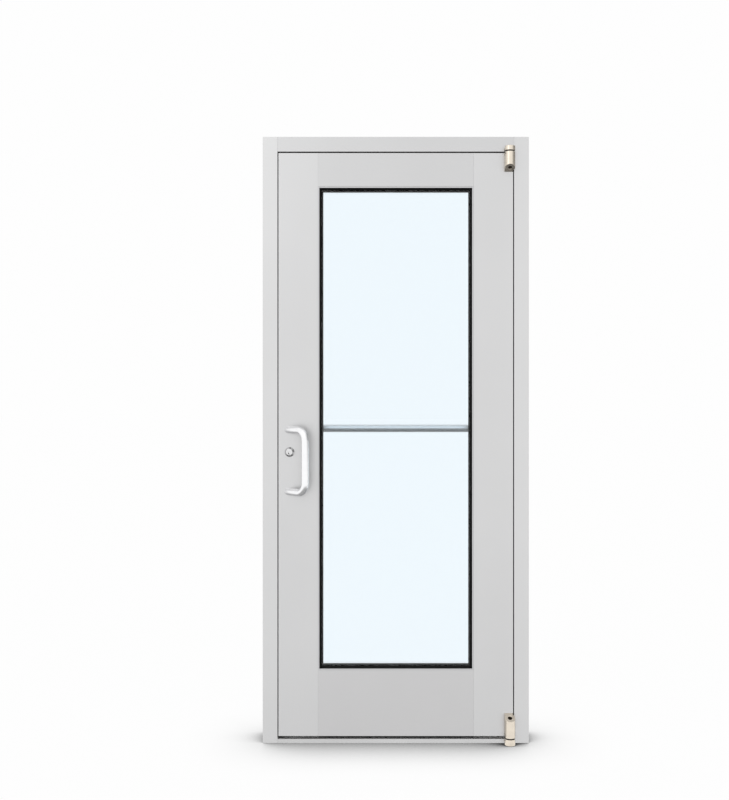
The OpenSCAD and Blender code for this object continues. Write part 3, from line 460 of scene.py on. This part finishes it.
def pull_bar():
    """The pull: a foot, two quarter bends and a grip, in a plane that leans towards the glass."""
    details = settings("door_details")
    radius = details.pull_bar / 2
    bend = details.pull_bend
    low, high = box("pull_handle")
    foot = Vector((middle("pull_bolts").x, box("lock_stile")[0].y, low.z + radius))
    rise = high.z - low.z - 2 * radius
    leg = (high.x - radius - foot.x) * math.sqrt(2)
    inside = 3 * radius
    piece = start_ring("pull_grip", radius, "X", (-inside, 0, 0))
    with editing(piece, "EDGE"):
        bpy.ops.mesh.select_all(action="SELECT")
        run_straight((inside + leg - bend, 0, 0))
        run_bend((leg - bend, 0, bend), (0, -1, 0))
        run_straight((0, 0, rise - 2 * bend))
        run_bend((leg - bend, 0, rise - bend), (0, -1, 0))
        run_straight((-inside - leg + bend, 0, 0))
    piece.location = foot
    piece.rotation_euler = (0, 0, -math.pi / 4)
    apply_place(piece)
    outward(piece)
    with editing(piece, "VERT"):
        bpy.ops.mesh.select_all(action="SELECT")
        bpy.ops.mesh.bisect(plane_co=foot, plane_no=(0, 1, 0), use_fill=True, clear_outer=True)
    smooth(piece, 50)
    installed(piece, "pull_polished", "pull_handle")


def push_tube():
    """The push bar: a tube with two quarter bends that ends on its flanges."""
    details = settings("door_details")
    radius = details.push_bar / 2
    bend = details.push_bend
    low, high = box("push_bar")
    half = high.x - radius
    start = Vector((half, low.y, middle("push_bar").z))
    out = high.y - radius - low.y
    piece = start_ring("push_tube", radius, "Y", start)
    with editing(piece, "EDGE"):
        bpy.ops.mesh.select_all(action="SELECT")
        run_straight((0, out - bend, 0))
        run_bend(start + Vector((-bend, out - bend, 0)), (0, 0, 1))
        run_straight((-2 * (half - bend), 0, 0))
        run_bend((-half + bend, start.y + out - bend, start.z), (0, 0, 1))
        run_straight((0, -out + bend, 0))
    outward(piece)
    wall = piece.modifiers.new("wall", "SOLIDIFY")
    wall.thickness = details.push_wall
    wall.offset = -1
    apply_modifier(piece, wall)
    smooth(piece, 50)
    installed(piece, "push_bar_anodised", "push_bar")


def flange(at, radius, thick, spigot_run):
    """A turned flange: a disc with a rounded rim, a spigot in the tube and a recess for its screw."""
    details = settings("door_details")
    play = 0.2 * MM
    spigot = details.push_bar / 2 - details.push_wall - play
    piece = primitive("push_flange", "cylinder", vertices=64, radius=radius, depth=thick, location=at,
                      rotation=TURN_TO["Y"])
    room_side = at.y + thick / 2 - 0.01 * MM
    pick_edges(piece, lambda co: co.y > room_side)
    with editing(piece, "EDGE"):
        bpy.ops.mesh.bevel(offset=details.flange_round, segments=4, profile=0.5)
    pick_faces(piece, lambda co, normal: co.y > room_side and normal.y > 0.99)
    with editing(piece):
        bpy.ops.mesh.inset(thickness=radius - details.flange_round - spigot, depth=0)
        push_out(spigot_run)
        bpy.ops.mesh.inset(thickness=spigot - details.screw_room, depth=0)
        push_out(-spigot_run)
    smooth(piece, 40)
    return piece


def push_out(run):
    """Extrudes what is selected along Y."""
    bpy.ops.mesh.extrude_region_move(TRANSFORM_OT_translate={"value": (0, run, 0)})


def push_flanges():
    """One flange at each end of the push bar, as a single piece."""
    low, high = box("push_bar_brackets")
    thick = box("push_bar")[0].y - low.y
    radius = (high.z - low.z) / 2
    reach = high.x - radius
    at = Vector((-reach, low.y + thick / 2, middle("push_bar").z))
    piece = flange(at, radius, thick, high.y - low.y - thick)
    other = piece.copy()
    other.data = piece.data.copy()
    bpy.context.scene.collection.objects.link(other)
    other.location.x = 2 * reach
    apply_place(other)
    only(piece)
    other.select_set(True)
    bpy.ops.object.join()
    installed(piece, "push_bar_anodised", "push_bar_brackets")


# ---------------------------------------------------------------- lock cylinder

def turned(name, at, face, steps):
    """A turned part along Y: each step is a radius and how far it runs out from the face."""
    radius, out = steps[0]
    piece = primitive(name, "circle", vertices=72, radius=radius, fill_type="NGON",
                      location=at + Vector((0, face * out, 0)), rotation=TURN_TO["Y"])
    with editing(piece):
        bpy.ops.mesh.select_all(action="SELECT")
        for next_radius, next_out in steps[1:]:
            push_out(face * (next_out - out))
            ratio = next_radius / radius
            bpy.ops.transform.resize(value=(ratio, 1, ratio),
                                     center_override=at + Vector((0, face * next_out, 0)))
            radius, out = next_radius, next_out
    outward(piece)
    return piece


def cylinder_piece(node, name, face, plug):
    """A mortise cylinder: its body, a coned collar, a head and the bore for its plug."""
    details = settings("door_details")
    low, high = box(node)
    leaf_low, leaf_high = box("lock_stile")
    centre = middle(node)
    seat, inner, outer = (leaf_low.y, high.y, low.y) if face < 0 else (leaf_high.y, low.y, high.y)
    collar = (high.x - low.x) / 2
    out = abs(outer - seat)
    body = details.cylinder_body
    head = details.cylinder_head
    steps = [(body, -abs(inner - seat)), (body, 0.0), (collar, 0.0), (collar, 1.2 * MM),
             (collar - 0.4 * MM, 1.6 * MM), (collar - 0.4 * MM, out - 5.1 * MM),
             (collar - 0.7 * MM, out - 4.6 * MM), (head, out - 0.9 * MM),
             (head - 0.4 * MM, out - 0.3 * MM), (head - 1.0 * MM, out)]
    piece = turned(name, Vector((centre.x, seat, centre.z)), face, steps)
    axis = plug_axis(node)
    through = 80 * MM
    cut_by(piece, primitive("bore_cutter", "cylinder", vertices=64, radius=details.plug_bore,
                            depth=through, location=(axis.x, middle(plug).y, axis.z),
                            rotation=TURN_TO["Y"]))
    smooth(piece, 24)
    installed(piece, "cylinder_chrome", node)


def plug_axis(node):
    """Where the plug of a cylinder turns."""
    joint = {"key_cylinder": "key_turn", "turn_cylinder": "thumb_turning"}[node]
    return Vector(next(row["pos_m"] for row in frame["joints"] if row["name"] == joint))


# ---------------------------------------------------------------- pivots

def painted_bore_shade(casting):
    """Paints the wall of the bore above an adjusting screw with the screw's black oxide colour: painted shade, so
    that the bore reads as a dark recess in the nickel casting.
    """
    low, high = box("adjusting_screws")
    centre = middle("adjusting_screws").xy
    radius = (high.x - low.x) / 2
    # painted shade: the bore wall takes the screws' black, though the casting itself is nickel
    casting.data.materials.append(FINISHES["black_oxide_and_bore_shade"])
    for face in casting.data.polygons:
        away = face.center.xy - centre
        upright = abs(face.normal.z) < 0.2
        on_wall = abs(away.length - radius) < 0.5 * MM
        if upright and on_wall and face.normal.xy.dot(away) < 0:
            face.material_index = 1


# ---------------------------------------------------------------- threshold

def fluted_threshold():
    """The threshold with fine flutes along its top, as a foot grip."""
    details = settings("door_details")
    piece = copied("threshold", "threshold_plate")
    low, high = box("threshold")
    pitch = details.flute_pitch
    depth = details.flute_depth
    count = int((high.y - low.y - details.flute_margin) / pitch)
    first = -(count - 1) * pitch / 2
    proud = 0.3 * depth
    through = 1.02 * (high.x - low.x)
    cutter = primitive("flute_cutter", "cylinder", vertices=4, radius=depth + proud, depth=through,
                       location=(0, first, high.z + proud), rotation=TURN_TO["X"])
    row = cutter.modifiers.new("row", "ARRAY")
    row.count = count
    row.use_relative_offset = False
    row.use_constant_offset = True
    row.constant_offset_displace = (0, pitch, 0)
    apply_modifier(cutter, row)
    cut_by(piece, cutter)
    smooth(piece)
    rounded(piece, 0.15 * MM, 1)
    installed(piece, "threshold_mill", "threshold")


# ---------------------------------------------------------------- operators

class DOOR_OT_finishes(bpy.types.Operator):
    """Makes the materials"""
    bl_idname = "door.finishes"
    bl_label = "Finishes"

    def execute(self, context):
        all_finishes()
        return {"FINISHED"}


class DOOR_OT_frame(bpy.types.Operator):
    """Jambs and header with their edges rounded"""
    bl_idname = "door.frame"
    bl_label = "Frame tubes"

    def execute(self, context):
        edge = context.scene.door_details.edge
        dressed("hinge_jamb", "hinge_jamb_tube", "jamb_anodised", edge)
        dressed("strike_jamb", "strike_jamb_tube", "jamb_anodised", edge)
        dressed("header", "header_tube", "header_anodised", edge)
        return {"FINISHED"}


class DOOR_OT_door_stops(bpy.types.Operator):
    """Snap-in door stops and their weatherstrips"""
    bl_idname = "door.door_stops"
    bl_label = "Door stops"

    def execute(self, context):
        edge = context.scene.door_details.edge
        dressed("hinge_jamb_stop", "hinge_stop_channel", "upright_stop_anodised", edge)
        dressed("strike_jamb_stop", "strike_stop_channel", "upright_stop_anodised", edge)
        dressed("header_stop", "header_stop_channel", "level_stop_anodised", edge)
        dressed("weatherstrips", "weatherstrip_bulbs", "weather_rubber", edge)
        return {"FINISHED"}


class DOOR_OT_threshold(bpy.types.Operator):
    """Fluted threshold"""
    bl_idname = "door.threshold"
    bl_label = "Threshold"

    def execute(self, context):
        fluted_threshold()
        return {"FINISHED"}


class DOOR_OT_leaf(bpy.types.Operator):
    """Stiles, rails and sweep of the leaf"""
    bl_idname = "door.leaf"
    bl_label = "Leaf tubes"

    def execute(self, context):
        edge = context.scene.door_details.edge
        dressed("hinge_stile", "hinge_stile_tube", "stile_anodised", edge)
        dressed("lock_stile", "lock_stile_tube", "stile_anodised", edge)
        dressed("top_rail", "top_rail_tube", "top_rail_anodised", edge)
        dressed("bottom_rail", "bottom_rail_tube", "bottom_rail_anodised", edge)
        dressed("door_sweep", "sweep_strip", "weather_rubber", edge)
        return {"FINISHED"}


class DOOR_OT_glazing(bpy.types.Operator):
    """Panes, spacer, gaskets and glazing stops"""
    bl_idname = "door.glazing"
    bl_label = "Glazing"

    def execute(self, context):
        edge = context.scene.door_details.edge
        for pane in ("outer_pane", "inner_pane"):
            dressed(pane, pane + "_glass", "clear_glass", 0.8 * MM, 1)
        dressed("edge_spacer", "spacer_bar", "spacer_black", edge, 1)
        for side in ("front", "rear"):
            dressed(side + "_gaskets", side + "_gasket_strips", "glazing_rubber", 0.2 * MM, 1)
            for place in ("hinge", "lock", "top", "bottom"):
                level = place in ("top", "bottom")
                finish = "level_stop_anodised" if level else "upright_stop_anodised"
                dressed(f"{side}_stop_{place}", f"{side}_bead_{place}", finish, 0.3 * MM)
        return {"FINISHED"}


class DOOR_OT_pivots(bpy.types.Operator):
    """Offset pivots and their washers"""
    bl_idname = "door.pivots"
    bl_label = "Pivots"

    def execute(self, context):
        soft = context.scene.door_details.soft_edge
        for node in ("top_frame_pivot", "bottom_frame_pivot", "top_leaf_pivot", "bottom_leaf_pivot"):
            casting = dressed(node, node + "_casting", "pivot_nickel", soft, 3)
            if "leaf" in node:
                # paints shade on the bore walls above the adjusting screws
                painted_bore_shade(casting)
        dressed("pivot_washers", "pivot_washer_rings", "washer_nylon", 0.3 * MM)
        return {"FINISHED"}


class DOOR_OT_pull(bpy.types.Operator):
    """Bent pull handle"""
    bl_idname = "door.pull"
    bl_label = "Pull handle"

    def execute(self, context):
        pull_bar()
        return {"FINISHED"}


class DOOR_OT_push_bar(bpy.types.Operator):
    """Push bar on its flanges"""
    bl_idname = "door.push_bar"
    bl_label = "Push bar"

    def execute(self, context):
        push_tube()
        push_flanges()
        return {"FINISHED"}


class DOOR_OT_lock(bpy.types.Operator):
    """Cylinders, plug, thumb turn, face plate, bolt and strike"""
    bl_idname = "door.lock"
    bl_label = "Lock"

    def execute(self, context):
        edge = context.scene.door_details.edge
        cylinder_piece("key_cylinder", "key_cylinder_body", -1, "key_plug")
        cylinder_piece("turn_cylinder", "turn_cylinder_body", 1, "thumb_turn")
        dressed("key_plug", "key_plug_turned", "cylinder_chrome", 0.25 * MM)
        dressed("thumb_turn", "thumb_turn_lever", "cylinder_chrome", 0.8 * MM, 3)
        dressed("lock_faceplate", "lock_faceplate_brushed", "lock_plate_brushed", edge)
        dressed("deadbolt", "deadbolt_bar", "lock_plate_brushed", edge)
        dressed("strike_plate", "strike_plate_brushed", "lock_plate_brushed", edge)
        return {"FINISHED"}


class DOOR_OT_fittings(bpy.types.Operator):
    """Screws, blocks and other inner pieces, which keep their construction shape"""
    bl_idname = "door.fittings"
    bl_label = "Fittings"

    finish_of_slot = {"steel": "zinc_plate", "block_metal": "block_mill",
                      "weather_rubber": "weather_rubber"}

    def execute(self, context):
        for node, piece in NODES.items():
            if not piece.hide_render:
                finished(piece, self.finish_of_slot[SLOT_OF[node]])
        finished(NODES["adjusting_screws"], "black_oxide_and_bore_shade")
        return {"FINISHED"}


class DOOR_OT_studio(bpy.types.Operator):
    """Camera, floor, room light and lamps"""
    bl_idname = "door.studio"
    bl_label = "Studio"

    def execute(self, context):
        studio_camera()
        studio_floor()
        studio_world()
        studio_lamps()
        context.scene.view_settings.view_transform = "Standard"
        return {"FINISHED"}


# ---------------------------------------------------------------- studio

# Where the soft steps of the studio begin and end. Slant is 0 for a floor seen head on and 1 at a grazing
# angle. A look through the two panes passes four surfaces of glass, and a look through and back eight.
SLANT_STEP = (0.24, 0.66)
GLASS_STEP = (6.0, 8.0)
REFLECTION_STEP = (1.5, 3.0)
FRONT_STEP = (-0.6, 0.4)
REAR_STEP = (0.72, 0.95)
ABOVE_STEP = (0.45, 0.85)

# How far the bright front is turned to the left
FRONT_TURN = math.radians(36)

# How fast the contact shadow fades, and the least light left in it
SHADOW_FADE = 1.8
SHADOW_FLOOR = 0.03


def studio_camera():
    studio = settings("door_studio")
    camera = bpy.data.objects.new("camera", bpy.data.cameras.new("camera"))
    bpy.context.scene.collection.objects.link(camera)
    camera.location = (0, box("hinge_jamb")[0].y - studio.camera_away, studio.camera_up)
    camera.rotation_euler = (math.pi / 2, 0, 0)
    camera.data.lens = studio.lens
    camera.data.shift_x = studio.shift_x
    camera.data.shift_y = studio.shift_y
    bpy.context.scene.camera = camera


def studio_floor():
    floor = primitive("studio_floor", "plane", size=60, location=(0, 0, 0))
    floor.data.materials.append(floor_paper())


def floor_paper():
    """White paper with a soft shadow where something stands on it, and a greyer look in what shines."""
    studio = settings("door_studio")
    paper = bpy.data.materials.new("floor_paper")
    paper.use_nodes = True
    paper.cycles.emission_sampling = "NONE"
    tree = paper.node_tree
    tree.nodes.clear()
    near = tree.nodes.new("ShaderNodeAmbientOcclusion")
    near.inputs["Distance"].default_value = studio.shadow_reach
    covered = maths(tree, "SUBTRACT", 1.0, near.outputs["AO"])
    dark = maths(tree, "MULTIPLY", maths(tree, "POWER", covered, SHADOW_FADE), studio.shadow_depth)
    open_share = maths(tree, "MAXIMUM", maths(tree, "SUBTRACT", 1.0, dark), SHADOW_FLOOR)
    slant = tree.nodes.new("ShaderNodeLayerWeight").outputs["Facing"]
    mirrored = map_range(tree, slant, SLANT_STEP, (studio.floor_below, studio.floor_mirror))
    path = tree.nodes.new("ShaderNodeLightPath")
    surfaces = path.outputs["Transmission Depth"]
    past_glass = map_range(tree, surfaces, GLASS_STEP, (1.0, studio.floor_below))
    once = maths(tree, "MULTIPLY", second_look(tree, path), mirrored)
    shone = maths(tree, "MULTIPLY", once, past_glass)
    white = maths(tree, "MULTIPLY", studio.back_glow, open_share)
    glow = tree.nodes.new("ShaderNodeEmission")
    tree.links.new(mixed(tree, path.outputs["Glossy Depth"], white, shone), glow.inputs["Strength"])
    matt = tree.nodes.new("ShaderNodeBsdfDiffuse")
    matt.inputs["Color"].default_value = (0.92, 0.92, 0.92, 1)
    mix = tree.nodes.new("ShaderNodeMixShader")
    mix.inputs["Fac"].default_value = studio.floor_matt
    tree.links.new(glow.outputs["Emission"], mix.inputs[1])
    tree.links.new(matt.outputs["BSDF"], mix.inputs[2])
    output = tree.nodes.new("ShaderNodeOutputMaterial")
    tree.links.new(mix.outputs["Shader"], output.inputs["Surface"])
    return paper


def second_look(tree, path):
    """Less light for what is seen after two or more reflections, which darkens gaps and corners."""
    depth = path.outputs["Glossy Depth"]
    return map_range(tree, depth, REFLECTION_STEP, (1.0, settings("door_studio").second_glow))


def studio_world():
    """White for what is seen directly, a bright dome for matt surfaces, and a studio for what shines.

    The studio is bright in front of the door and to the left, behind it and above, and dark to the right.
    """
    studio = settings("door_studio")
    world = bpy.data.worlds.new("room")
    world.use_nodes = True
    world.cycles.sampling_method = "NONE"
    tree = world.node_tree
    tree.nodes.clear()
    direction = tree.nodes.new("ShaderNodeTexCoord").outputs["Generated"]
    parts = tree.nodes.new("ShaderNodeSeparateXYZ")
    tree.links.new(direction, parts.inputs["Vector"])
    dome = map_range(tree, parts.outputs["Z"], (0.0, 1.0), (studio.dome_low, studio.dome_high))
    towards = tree.nodes.new("ShaderNodeVectorMath")
    towards.operation = "DOT_PRODUCT"
    towards.inputs[1].default_value = (-math.sin(FRONT_TURN), -math.cos(FRONT_TURN), 0)
    tree.links.new(direction, towards.inputs[0])
    front = map_range(tree, towards.outputs["Value"], FRONT_STEP, (0.0, 1.0))
    rear = map_range(tree, parts.outputs["Y"], REAR_STEP, (0.0, 1.0))
    above = map_range(tree, parts.outputs["Z"], ABOVE_STEP, (0.0, 1.0))
    lit = maths(tree, "MAXIMUM", maths(tree, "MAXIMUM", front, rear), above)
    shine = mixed(tree, lit, studio.side_glow, studio.front_glow)
    path = tree.nodes.new("ShaderNodeLightPath")
    shone = maths(tree, "MULTIPLY", second_look(tree, path), shine)
    seen = mixed(tree, path.outputs["Glossy Depth"], studio.back_glow, shone)
    glow = tree.nodes.new("ShaderNodeBackground")
    glow.inputs["Color"].default_value = (1, 1, 1, 1)
    tree.links.new(mixed(tree, path.outputs["Diffuse Depth"], seen, dome), glow.inputs["Strength"])
    output = tree.nodes.new("ShaderNodeOutputWorld")
    tree.links.new(glow.outputs["Background"], output.inputs["Surface"])
    bpy.context.scene.world = world


def maths(tree, operation, *values):
    """One step of arithmetic on numbers or sockets."""
    node = tree.nodes.new("ShaderNodeMath")
    node.operation = operation
    for socket, value in zip(node.inputs, values):
        if isinstance(value, (int, float)):
            socket.default_value = value
        else:
            tree.links.new(value, socket)
    return node.outputs["Value"]


def mixed(tree, factor, first, second):
    """The first value where the factor is 0 and the second where it is 1."""
    node = tree.nodes.new("ShaderNodeMix")
    for socket, value in zip(node.inputs[:1] + node.inputs[2:4], (factor, first, second)):
        if isinstance(value, float):
            socket.default_value = value
        else:
            tree.links.new(value, socket)
    return node.outputs[0]


def map_range(tree, value, source, target):
    """A soft step of a value from one range to another."""
    node = tree.nodes.new("ShaderNodeMapRange")
    node.interpolation_type = "SMOOTHSTEP"
    for name, number in zip(RANGE_SOCKETS, (*source, *target)):
        node.inputs[name].default_value = number
    tree.links.new(value, node.inputs["Value"])
    return node.outputs["Result"]


def lamp(name, at, aim, size, power):
    light = bpy.data.lights.new(name, "AREA")
    light.size = size
    light.energy = power
    piece = bpy.data.objects.new(name, light)
    bpy.context.scene.collection.objects.link(piece)
    piece.location = at
    piece.rotation_euler = (Vector(aim) - Vector(at)).to_track_quat("-Z", "Y").to_euler()


def studio_lamps():
    studio = settings("door_studio")
    lamp("upper_left", (-2.2, -3.0, 3.2), (0, 0, 1.1), 1.6, studio.key)


# ---------------------------------------------------------------- panel and registration

STEPS = (DOOR_OT_finishes, DOOR_OT_frame, DOOR_OT_door_stops, DOOR_OT_threshold, DOOR_OT_leaf,
         DOOR_OT_glazing, DOOR_OT_pivots, DOOR_OT_pull, DOOR_OT_push_bar, DOOR_OT_lock,
         DOOR_OT_fittings, DOOR_OT_studio)


class DOOR_PT_panel(bpy.types.Panel):
    """Lists the steps that dress the door"""
    bl_idname = "DOOR_PT_panel"
    bl_label = "Entrance door"
    bl_space_type = "VIEW_3D"
    bl_region_type = "UI"
    bl_category = "Door"

    def draw(self, context):
        for step in STEPS:
            self.layout.operator(step.bl_idname)


GROUPS = {"door_finish": DoorFinishSettings, "door_details": DoorDetailSettings,
          "door_studio": DoorStudioSettings}


def register():
    for kind in (*GROUPS.values(), *STEPS, DOOR_PT_panel):
        bpy.utils.register_class(kind)
    for name, group in GROUPS.items():
        setattr(bpy.types.Scene, name, PointerProperty(type=group))


def unregister():
    for name in GROUPS:
        delattr(bpy.types.Scene, name)
    for kind in reversed((*GROUPS.values(), *STEPS, DOOR_PT_panel)):
        bpy.utils.unregister_class(kind)


def main():
    register()
    for step in STEPS:
        group, name = step.bl_idname.split(".")
        getattr(getattr(bpy.ops, group), name)()


if __name__ == "__main__":
    main()
